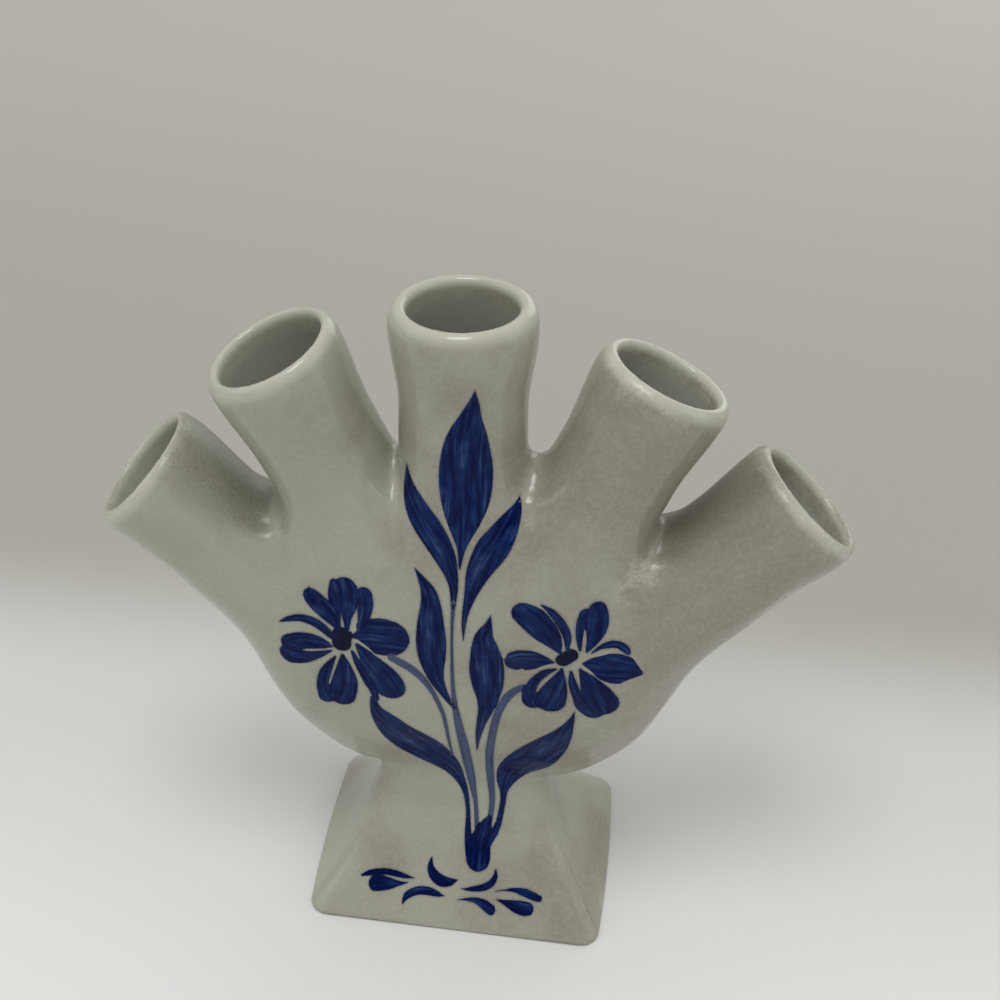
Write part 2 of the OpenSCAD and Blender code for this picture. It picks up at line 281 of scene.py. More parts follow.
def foot_fields(x, y, z):
    up = np.clip(z / FOOT_H, 0, 1.3)
    sag = SAG * np.sin(np.pi * np.clip(up, 0, 1))
    low = np.clip(1 - up, 0, 1)
    bow_x = BOW_SIDE * np.clip(1 - (y / BOW_HALF) ** 2, 0, 1) * low
    bow_y = (BOW_FRONT + SKEW * np.clip(x, -SKEW_HALF, SKEW_HALF) * (y < 0)) * low
    half_w = FOOT_W / 2 + (WAIST_W - FOOT_W) / 2 * up - sag + bow_x
    half_d = FOOT_D / 2 + (WAIST_D - FOOT_D) / 2 * up - sag + bow_y
    corner = LOW_CORNER + CORNER_GROWS * np.clip(up, 0, 1)
    over_x, over_y = np.abs(x) - half_w + corner, np.abs(y) - half_d + corner
    block = np.hypot(np.maximum(over_x, 0), np.maximum(over_y, 0)) - corner
    block = SLANT * (block + np.minimum(np.maximum(over_x, over_y), 0))
    under = smooth_max(block + FOOT_WALL, z - FOOT_H + FLOOR, FLOOR_ROUND)
    block = smooth_max(block, -z, RING_ROUND)
    return smooth_max(block, z - FOOT_H - INTO_PALM, TOP_ROUND), under


print("foot %.0f x %.0f x %.0f mm" % (FOOT_W, FOOT_D, FOOT_H))

# %% [markdown]
# ## Joining and hollowing
# The parts are joined with fillets: wide where fingers meet the palm, widest on its faces and its
# outer edges, tight at the neck. Bevels after a union could do it, but they break where three
# joints meet. A slow wave of about a quarter millimetre keeps the surface from looking turned on a
# machine. Then the bores and the chamber are taken out, and the lips round over because that cut
# is smooth too.

# %% One smooth lump of clay
FAR_OFF = 50.0
WALL, CHAMBER_FLOOR, CHAMBER_ROUND, BORE_FILLET = 4.0, 1.5, 3.0, 4.0
FINGER_FILLET, FULLER, NECK_FILLET = 5.5, 4.5, 4.0
FACE_FROM, FACE_OVER = 6.0, 5.0
EDGE_FROM, EDGE_OVER, EDGE_TOP, EDGE_FADE = 30.0, 12.0, 106.0, 16.0
WAVE, MOUTH_ROUND, UNDER_ROUND = 0.22, 2.2, 1.0


def skin_and_hollow(x, y, z):
    body = palm(x, y, z)
    block = foot_fields(x, y, z)[0]
    room = smooth_max(body + WALL, FOOT_H + CHAMBER_FLOOR - z, CHAMBER_ROUND)
    hand = FAR_OFF
    for finger in FINGERS.values():
        tube, bore = finger_fields(finger, x, y, z)
        hand = smooth_min(hand, tube, finger["crotch"])
        room = smooth_min(room, bore, BORE_FILLET)
    on_faces = ease((np.abs(y) - FACE_FROM) / FACE_OVER)
    on_edges = ease((np.abs(x) - EDGE_FROM) / EDGE_OVER) * ease((EDGE_TOP - z) / EDGE_FADE)
    fillet = FINGER_FILLET + FULLER * np.maximum(on_faces, on_edges)
    lump = smooth_min(smooth_min(body, hand, fillet), block, NECK_FILLET)
    wave = np.sin(0.11 * x + 0.07 * z) * np.sin(0.13 * z - 0.05 * x + 1.3) * np.cos(0.12 * y)
    return lump + WAVE * wave * ease(z / 12), room


def clay(x, y, z):
    skin, room = skin_and_hollow(x, y, z)
    pot = smooth_max(skin, -room, MOUTH_ROUND)
    return smooth_max(pot, -foot_fields(x, y, z)[1], UNDER_ROUND)


def slope(formula, points, reach=0.15):
    rows = []
    for axis in np.eye(3) * reach:
        ahead, behind = points + axis, points - axis
        rows.append((formula(*ahead.T) - formula(*behind.T)) / (2 * reach))
    return np.stack(rows, 1)


in_chamber = np.array([[0.0], [0.0], [80.0]])
print("the middle of the chamber is %.1f mm from clay" % clay(*in_chamber)[0])

# %% [markdown]
# ## From field to mesh
# Marching cubes would do, but surface nets give evener quads: one point in every grid cell that the
# surface passes through, and one quad for every grid edge it crosses. Each point is then walked
# along the slope of the field until it lies on the true surface.

# %% Mesh the clay with surface nets
CELL, MARGIN = 0.8, 3.0
WALKS, LONGEST_WALK, LEAST_SLOPE = 2, 0.5, 0.2


def surface_net(formula, low, high, cell):
    counts = np.ceil((high - low) / cell).astype(int) + 1
    ticks = [np.float32(low[k] + cell * np.arange(counts[k])) for k in range(3)]
    field = formula(ticks[0][:, None, None], ticks[1][None, :, None], ticks[2][None, None, :])
    inside = field < 0
    step = np.eye(3, dtype=int)
    cells, spots, fans = [], [], []
    for a in range(3):
        b, c = (a + 1) % 3, (a + 2) % 3
        count = inside.shape[a]
        first = np.take(inside, range(count - 1), a)
        edge = np.argwhere(first != np.take(inside, range(1, count), a))
        here, there = field[tuple(edge.T)], field[tuple((edge + step[a]).T)]
        spot = edge + (here / (here - there))[:, None] * step[a]
        ring = [edge, edge - step[b], edge - step[b] - step[c], edge - step[c]]
        cells += ring
        spots += [spot] * 4
        fans.append(inside[tuple(edge.T)])
    keys = np.ravel_multi_index(np.concatenate(cells).T, field.shape)
    place = np.unique(keys, return_inverse=True)[1]
    spots, share = np.concatenate(spots), np.bincount(place)
    points = np.stack([np.bincount(place, spots[:, k]) / share for k in range(3)], 1)
    quads, start = [], 0
    for starts_inside in fans:
        corner = place[start:start + 4 * len(starts_inside)].reshape(4, -1).T
        quads.append(np.where(starts_inside[:, None], corner, corner[:, ::-1]))
        start += 4 * len(starts_inside)
    return low + cell * points, np.concatenate(quads)


low, high = (np.array(corner) / MM for corner in cad_box)
points, quads = surface_net(clay, low - MARGIN, high + MARGIN, CELL)
for _ in range(WALKS):
    way = slope(clay, points)
    reach = clay(*points.T) / np.maximum((way ** 2).sum(1), LEAST_SLOPE)
    points = points - way * np.clip(reach, -LONGEST_WALK, LONGEST_WALK)[:, None]
print("clay surface:", len(points), "points,", len(quads), "quads")

# %% [markdown]
# ## Twelve pieces of clay
# On the bench the vase is twelve pieces: a foot, two body halves, five fingers and four small coils
# pressed into the crotches. The smooth clay is cut along the same lines as the frame's nodes, with
# prisms that run from front to back. A Boolean keeps every piece closed. The pieces take their
# shading from the field's slope and not from their own faces, so the cuts don't show, just as the
# luted joints don't show under the glaze.

# %% Regions on the front plane
REACH, FRONT, BACK = 150.0, -60.0, 60.0
COIL_H, COIL_HALF = 6.0, 2.2
SIDE = 95.0


def polar(angle, radius):
    turn = math.radians(angle)
    return radius * math.sin(turn), FAN_Z + radius * math.cos(turn)


def seat_arc(start, end):
    count = max(2, int(abs(end - start)) + 1)
    return [polar(a, ROOT_R) for a in np.linspace(start, end, count)]


def finger_region(low_angle, high_angle):
    region = []
    for angle, inward in ((low_angle, 1), (high_angle, -1)):
        notch = angle + inward * (COIL_HALF if abs(angle) < SIDE else 0)
        step = [polar(notch, ROOT_R + COIL_H), polar(angle, ROOT_R + COIL_H), polar(angle, REACH)]
        region += step[::inward]
        if inward == 1:
            region += [polar(a, REACH) for a in np.linspace(low_angle, high_angle, 6)[1:-1]]
    inset = [COIL_HALF if abs(a) < SIDE else 0 for a in (low_angle, high_angle)]
    return region + seat_arc(high_angle - inset[1], low_angle + inset[0])


angles = [finger["angle"] for finger in FINGERS.values()]
crotches = [(a + b) / 2 for a, b in zip(angles, angles[1:])]
bounds = [-SIDE] + crotches + [SIDE]
under_seat = [(-REACH, FOOT_H), (REACH, FOOT_H), (REACH, polar(SIDE, ROOT_R)[1])]
under_seat += seat_arc(SIDE, -SIDE) + [(-REACH, polar(SIDE, ROOT_R)[1])]
under_waist = [(-REACH, -REACH), (REACH, -REACH), (REACH, FOOT_H), (-REACH, FOOT_H)]

regions = {
    "foot": (under_waist, FRONT, BACK),
    "body_front": (under_seat, FRONT, 0),
    "body_back": (under_seat, 0, BACK),
}
for name, low_angle, high_angle in zip(FINGERS, bounds, bounds[1:]):
    regions["spout_" + name] = (finger_region(low_angle, high_angle), FRONT, BACK)
for name, angle in zip(("far_left", "left", "right", "far_right"), crotches):
    a, b = angle - COIL_HALF, angle + COIL_HALF
    top = [polar(turn, ROOT_R + COIL_H) for turn in (a, angle, b)]
    regions["crotch_coil_" + name] = (top + seat_arc(b, a), FRONT, BACK)
print("regions:", ", ".join(regions))

# %% Cut the clay
def mesh_object(name, points_mm, faces):
    mesh = bpy.data.meshes.new(name)
    mesh.from_pydata(np.asarray(points_mm) * MM, [], faces)
    mesh.update()
    thing = bpy.data.objects.new(name, mesh)
    bpy.context.scene.collection.objects.link(thing)
    return thing


def prism(region, front, back):
    x, z = np.array(region).T
    if (x * np.roll(z, -1) - np.roll(x, -1) * z).sum() < 0:
        region = region[::-1]
    count = len(region)
    corners = [(x, y, z) for y in (front, back) for x, z in region]
    sides = [(k, k + count, (k + 1) % count + count, (k + 1) % count) for k in range(count)]
    caps = [tuple(range(count)), tuple(range(2 * count - 1, count - 1, -1))]
    cutter = mesh_object("cutter", corners, sides + caps)
    cutter.data.validate()
    return cutter


def cut_piece(name, lump, region, front, back):
    cutter = prism(region, front, back)
    cut = lump.modifiers.new("cut", "BOOLEAN")
    cut.operation, cut.solver, cut.object = "INTERSECT", "MANIFOLD", cutter
    settled = lump.evaluated_get(bpy.context.evaluated_depsgraph_get())
    mesh = bpy.data.meshes.new_from_object(settled)
    lump.modifiers.remove(cut)
    bpy.data.objects.remove(cutter)
    mesh.name = name
    piece = bpy.data.objects.new(name, mesh)
    bpy.context.scene.collection.objects.link(piece)
    return piece


lump = mesh_object("clay_lump", points, quads.tolist())
pieces = {}
for name, (region, front, back) in regions.items():
    pieces[name] = cut_piece("clay_" + name, lump, region, front, back)
    print("%-24s %6d faces" % (name, len(pieces[name].data.polygons)))
bpy.data.objects.remove(lump)

# %% Read and write numbers on a mesh
def vertex_array(mesh):
    flat = np.empty(3 * len(mesh.vertices), np.float32)
    mesh.vertices.foreach_get("co", flat)
    return flat.reshape(-1, 3).astype(float) / MM


def face_normals(mesh):
    flat = np.empty(3 * len(mesh.polygons), np.float32)
    mesh.polygons.foreach_get("normal", flat)
    return flat.reshape(-1, 3)


def put_values(mesh, name, values):
    layer = mesh.attributes.new(name, "FLOAT", "POINT")
    layer.data.foreach_set("value", np.asarray(values, np.float32))


print("points in all pieces:", sum(len(vertex_array(piece.data)) for piece in pieces.values()))

# %% Note where glaze runs thin, crusty or dry, and where highlight and shade are painted
CRUSTY = {"far_left": 0.35, "left": 0.1, "centre": 0.1, "right": 0.7, "far_right": 0.55}
CRUST_BAND, CRUST_RADIUS = 7.0, 17.5
# Pale patches just below the crotches: partly crust, partly a painted highlight in the valleys.
CROTCH_CRUST_AND_HIGHLIGHT = [
    dict(angle=37.0, below=8.0, wide=7.5, share=0.8),
    dict(angle=12.0, below=5.0, wide=4.0, share=0.5),
    dict(angle=-12.0, below=4.0, wide=3.5, share=0.6),
    dict(angle=-37.5, below=5.0, wide=3.5, share=0.6),
]
DRY_SHADE_RADIUS, DRY_SHADE_FROM = 18.0, -12.0
ELSEWHERE = 99.0


def bend_of_surface(points, reach=1.5):
    around = -6 * clay(*points.T)
    for axis in np.eye(3) * reach:
        around = around + clay(*(points + axis).T) + clay(*(points - axis).T)
    return around / reach ** 2


def depth_below_mouth(points):
    depths = []
    for finger in FINGERS.values():
        off_finger = finger_fields(finger, *points.T)[0] > 1
        depths.append(np.maximum(-above_mouth(finger, *points.T), 0) + ELSEWHERE * off_finger)
    return np.min(depths, axis=0)


# Pale crust round the listed lips, and pale crotch patches that are partly crust and partly a
# painted highlight.
def crust_and_highlight_on(points):
    level = np.zeros(len(points))
    for name, share in CRUSTY.items():
        finger = FINGERS[name]
        root, way = finger_axis(finger)
        below_lip = -above_mouth(finger, *points.T)
        axis_gap = np.linalg.norm(np.cross(points - root, way), axis=1)
        near = ease((CRUST_BAND - below_lip) / 6.0) * ease((CRUST_RADIUS - axis_gap) / 1.5)
        level = np.maximum(level, share * near)
    for patch in CROTCH_CRUST_AND_HIGHLIGHT:
        x, z = polar(patch["angle"], ROOT_R - patch["below"])
        gap = np.hypot(points[:, 0] - x, points[:, 2] - z)
        near = ease((patch["wide"] - gap) / (0.7 * patch["wide"]))
        level = np.maximum(level, patch["share"] * near)
    return level


# Darkens the upper sides of the two outer fingers, which face the next finger: partly dry glaze,
# partly painted shade.
def dry_and_shade_on(points, normals):
    level = np.zeros(len(points))
    for name, inward in (("far_left", 1), ("far_right", -1)):
        finger = FINGERS[name]
        root, way = finger_axis(finger)
        upper = inward * np.array([way[2], 0.0, -way[0]]) + np.array([0.0, 0.35, 0.0])
        axis_gap = np.linalg.norm(np.cross(points - root, way), axis=1)
        near = ease((DRY_SHADE_RADIUS - axis_gap) / 2)
        near *= ease(((points - root) @ way - DRY_SHADE_FROM) / 10)
        level = np.maximum(level, near * ease((normals @ upper - 0.1) / 0.6))
    return level


print("crust on", len(CRUSTY), "lips and in", len(CROTCH_CRUST_AND_HIGHLIGHT), "crotches")

# %% Shade the pieces by the field
SAME_WAY, UNDER_SKIN = 0.8, -0.05
LIP_BAND, BARE_BELOW_LIP, BARE_UNDER, DRY_SHADE_DOWN_TO = 7.0, 4.5, 0.5, -1.8


def shade_like_clay(mesh):
    points = vertex_array(mesh)
    smooth = slope(clay, points)
    smooth /= np.linalg.norm(smooth, axis=1)[:, None]
    corner_point = np.empty(len(mesh.loops), np.int32)
    mesh.loops.foreach_get("vertex_index", corner_point)
    sizes = np.empty(len(mesh.polygons), np.int32)
    mesh.polygons.foreach_get("loop_total", sizes)
    flat = np.repeat(face_normals(mesh), sizes, 0)
    normals = smooth[corner_point]
    face = np.repeat(np.arange(len(sizes)), sizes)
    agree = np.bincount(face, (normals * flat).sum(1)) / sizes
    middle = np.stack([np.bincount(face, points[corner_point, k]) / sizes for k in range(3)], 1)
    cut_face = np.repeat((agree < SAME_WAY) & (clay(*middle.T) < UNDER_SKIN), sizes)
    normals[cut_face] = flat[cut_face]
    mesh.polygons.foreach_set("use_smooth", np.ones(len(sizes), bool))
    mesh.normals_split_custom_set(normals)
    return points, smooth


def note_glaze(mesh, points, smooth):
    skin = skin_and_hollow(*points.T)[0]
    below, up = depth_below_mouth(points), points[:, 2]
    on_lip, on_foot = ease((LIP_BAND - below) / LIP_BAND), ease((FOOT_H + 1 - up) / 3)
    thin_and_highlit_edges = np.maximum(on_lip, on_foot) * ease(up / 8)
    bare = ease((-skin - BARE_UNDER) / 1.8) * ease((below - BARE_BELOW_LIP) / 1.5)
    put_values(mesh, "inside", bare)
    # Lips and foot ridges are lightened where the clay bends over: partly thin glaze, partly a
    # painted highlight.
    put_values(mesh, "thin_glaze_and_highlight", bend_of_surface(points) * thin_and_highlit_edges)
    # The crotch patches in this value are partly crust and partly a painted highlight.
    put_values(mesh, "crust_and_highlight", crust_and_highlight_on(points))
    # The outer fingers' upper sides are darkened: partly dry glaze, partly painted shade.
    put_values(mesh, "dry_and_shade", dry_and_shade_on(points, smooth) * ease((skin - DRY_SHADE_DOWN_TO) / 1.2))


for name, piece in pieces.items():
    note_glaze(piece.data, *shade_like_clay(piece.data))
    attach(piece, "root")
    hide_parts(name)
print("shaded", len(pieces), "pieces")

# %% [markdown]
# ## The glaze
# Salt thrown into a hot kiln leaves a thin grey glaze with a faint orange peel, a few iron specks,
# crusty pale patches round some lips and in the crotches, and dry sandy upper sides on the outer
# fingers. Some of this colour is painted light. The lighter lips and foot ridges are partly thin
# glaze and partly a painted highlight, the pale crotch patches are partly crust and partly a
# painted highlight, the dark upper sides of the outer fingers are partly dry glaze and partly
# painted shade, and above the foot the grey turns darker and warmer towards the right as painted
# shade. It could be painted by hand on an unwrapped mesh. Here the colour comes from layers of
# noise in the pot's own millimetres, so it runs on from piece to piece. Where glaze is thin,
# crusty or dry, where those highlights and that shade are painted on lips, ridges, crotches and
# upper sides, and where the pot is bare inside, is read from values kept on the mesh, because
# those places follow the shape.

# %% Node helpers
def add(tree, kind, inputs=(), **settings):
    node = tree.nodes.new("ShaderNode" + kind)
    for key, value in settings.items():
        setattr(node, key, value)
    for key, value in dict(inputs).items():
        socket = node.inputs[key]
        if isinstance(value, bpy.types.NodeSocket):
            tree.links.new(value, socket)
        else:
            socket.default_value = value
    return node


def sums(tree, operation, *values):
    node = add(tree, "Math", dict(enumerate(values)), operation=operation)
    return node.outputs[0]


def between(tree, value, start, end, low=0.0, high=1.0):
    steps = {"Value": value, "From Min": start, "From Max": end, "To Min": low, "To Max": high}
    return add(tree, "MapRange", steps, interpolation_type="SMOOTHSTEP").outputs[0]


def blend(tree, share, first, second):
    node = add(tree, "Mix", {0: share, 6: first, 7: second}, data_type="RGBA")
    return node.outputs[2]


def noise(tree, place, per_mm, detail=2.0, rough=0.5):
    inputs = {"Vector": place, "Scale": per_mm, "Detail": detail, "Roughness": rough}
    return add(tree, "TexNoise", inputs).outputs["Fac"]


def kept(tree, name):
    return add(tree, "Attribute", attribute_name=name).outputs["Fac"]


def colour(red, green, blue):
    share = [v / 255 for v in (red, green, blue)]
    return (*[v / 12.92 if v <= 0.04045 else ((v + 0.055) / 1.055) ** 2.4 for v in share], 1.0)


print("grey 128 is %.3f in linear light" % colour(128, 128, 128)[0])

# %% Mix the grey salt glaze
COOL_GREY, WARM_GREY_AND_SHADE = colour(163, 163, 149), colour(143, 138, 125)
THIN_GLAZE_AND_HIGHLIGHT, CRUST_AND_HIGHLIGHT = colour(188, 187, 175), colour(200, 198, 186)
IRON_SPECK, INNER_GREY = colour(92, 86, 74), colour(152, 153, 145)
DRY_AND_SHADE_GREY = colour(112, 108, 96)
CLOUDS, MOTTLE, BLOTCHES, PEEL = 0.045, 0.9, 0.28, 0.55
SAND, PATCHES, GRIT, PITS = 2.0, 0.22, 2.2, 1.1
RIGHT_SHADE_PER_MM = 0.005
PEEL_STRENGTH, PEEL_HEIGHT = 0.14, 0.0003


def glaze_layers(tree):
    spot = add(tree, "TexCoord").outputs["Object"]
    place = add(tree, "VectorMath", {0: spot, "Scale": 1 / MM}, operation="SCALE").outputs[0]
    clouds = noise(tree, place, CLOUDS, 3.0)
    spread = add(tree, "SeparateXYZ", {0: place})
    # Above the foot the grey turns darker and warmer towards the right: painted shade on the right
    # side, laid over random warm clouds.
    right_shade_rate = between(tree, spread.outputs["Z"], 25.0, 50.0, 0.0, RIGHT_SHADE_PER_MM)
    clouds_and_right_shade = sums(tree, "MULTIPLY_ADD", spread.outputs["X"], right_shade_rate, clouds)
    tone = blend(tree, between(tree, clouds_and_right_shade, 0.38, 0.72), COOL_GREY, WARM_GREY_AND_SHADE)
    mottle = noise(tree, place, MOTTLE, 3.0, 0.65)
    tone = blend(tree, between(tree, mottle, 0.35, 0.75, 0.0, 0.22), tone, THIN_GLAZE_AND_HIGHLIGHT)
    blotches = noise(tree, place, BLOTCHES, 4.0, 0.6)
    tone = blend(tree, between(tree, blotches, 0.5, 0.8, 0.0, 0.25), tone, INNER_GREY)

    # Lips and foot ridges turn lighter: partly thin glaze, partly a painted highlight.
    edge = between(tree, kept(tree, "thin_glaze_and_highlight"), 0.13, 0.45)
    tone = blend(tree, sums(tree, "MULTIPLY", edge, 0.85), tone, THIN_GLAZE_AND_HIGHLIGHT)
    inside = kept(tree, "inside")
    tone = blend(tree, sums(tree, "MULTIPLY", inside, 0.85), tone, INNER_GREY)

    # The upper sides of the outer fingers turn darker and sandy: partly dry glaze, partly painted
    # shade.
    dry_and_shade = kept(tree, "dry_and_shade")
    sandy = between(tree, noise(tree, place, SAND, 2.0, 0.6), 0.3, 0.7, 0.4, 0.72)
    tone = blend(tree, sums(tree, "MULTIPLY", dry_and_shade, sandy), tone, DRY_AND_SHADE_GREY)
    # Pale gritty crust round some lips, and in the crotches pale patches that are partly crust and
    # partly a painted highlight.
    patches = between(tree, noise(tree, place, PATCHES, 4.0, 0.7), 0.42, 0.6)
    crust_and_highlight = sums(tree, "MULTIPLY", kept(tree, "crust_and_highlight"), patches)
    grit = noise(tree, place, GRIT, 2.0, 0.7)
    gritty = between(tree, grit, 0.38, 0.66, 0.2, 0.8)
    tone = blend(tree, sums(tree, "MULTIPLY", crust_and_highlight, gritty), tone, CRUST_AND_HIGHLIGHT)

    pits = add(tree, "TexVoronoi", {"Vector": place, "Scale": PITS, "Randomness": 1.0})
    pit = between(tree, pits.outputs["Distance"], 0.16, 0.3, 1.0, 0.0)
    lot = add(tree, "SeparateColor", {0: pits.outputs["Color"]}).outputs[0]
    rare = sums(tree, "MULTIPLY", between(tree, lot, 0.97, 0.985), 0.6)
    grain = sums(tree, "MAXIMUM", sums(tree, "MULTIPLY", crust_and_highlight, 0.5),
                 sums(tree, "MULTIPLY", inside, 0.4))
    speck = sums(tree, "MULTIPLY", pit, sums(tree, "MAXIMUM", rare, grain))
    tone = blend(tree, sums(tree, "MULTIPLY", speck, 0.4), tone, IRON_SPECK)

    rough = sums(tree, "MULTIPLY_ADD", mottle, 0.08, 0.09)
    bare = sums(tree, "MAXIMUM", sums(tree, "MAXIMUM", inside, crust_and_highlight), dry_and_shade)
    rough = sums(tree, "MULTIPLY_ADD", bare, 0.28, rough)
    peel = sums(tree, "ADD", noise(tree, place, PEEL, 1.5), sums(tree, "MULTIPLY", mottle, 0.35))
    grains = sums(tree, "MULTIPLY", grit, sums(tree, "MULTIPLY_ADD", grain, 2.0, 0.12))
    sunk = sums(tree, "MULTIPLY", speck, 0.6)
    relief = sums(tree, "SUBTRACT", sums(tree, "ADD", peel, grains), sunk)
    heights = {"Height": relief, "Strength": PEEL_STRENGTH, "Distance": PEEL_HEIGHT}
    return place, tone, rough, add(tree, "Bump", heights).outputs[0]


print("glaze colours: cool, warm, thin, crust, iron, inner and dry")

# %% Glaze the twelve pieces
GLASS_IOR, GLOSS = 1.5, 0.5


def new_glaze(name, shine):
    material = bpy.data.materials.new(name)
    material.use_nodes = True
    tree = material.node_tree
    shader = tree.nodes["Principled BSDF"]
    shader.inputs["IOR"].default_value = GLASS_IOR
    shader.inputs["Specular IOR Level"].default_value = shine
    place, tone, rough, bump = glaze_layers(tree)
    for key, value in (("Base Color", tone), ("Roughness", rough), ("Normal", bump)):
        tree.links.new(value, shader.inputs[key])
    return material, tree, shader, place, tone


salt_glaze = new_glaze("grey_salt_glaze", GLOSS)[0]
for piece in pieces.values():
    piece.data.materials.clear()
    piece.data.materials.append(salt_glaze)
print("glaze:", len(salt_glaze.node_tree.nodes), "nodes")
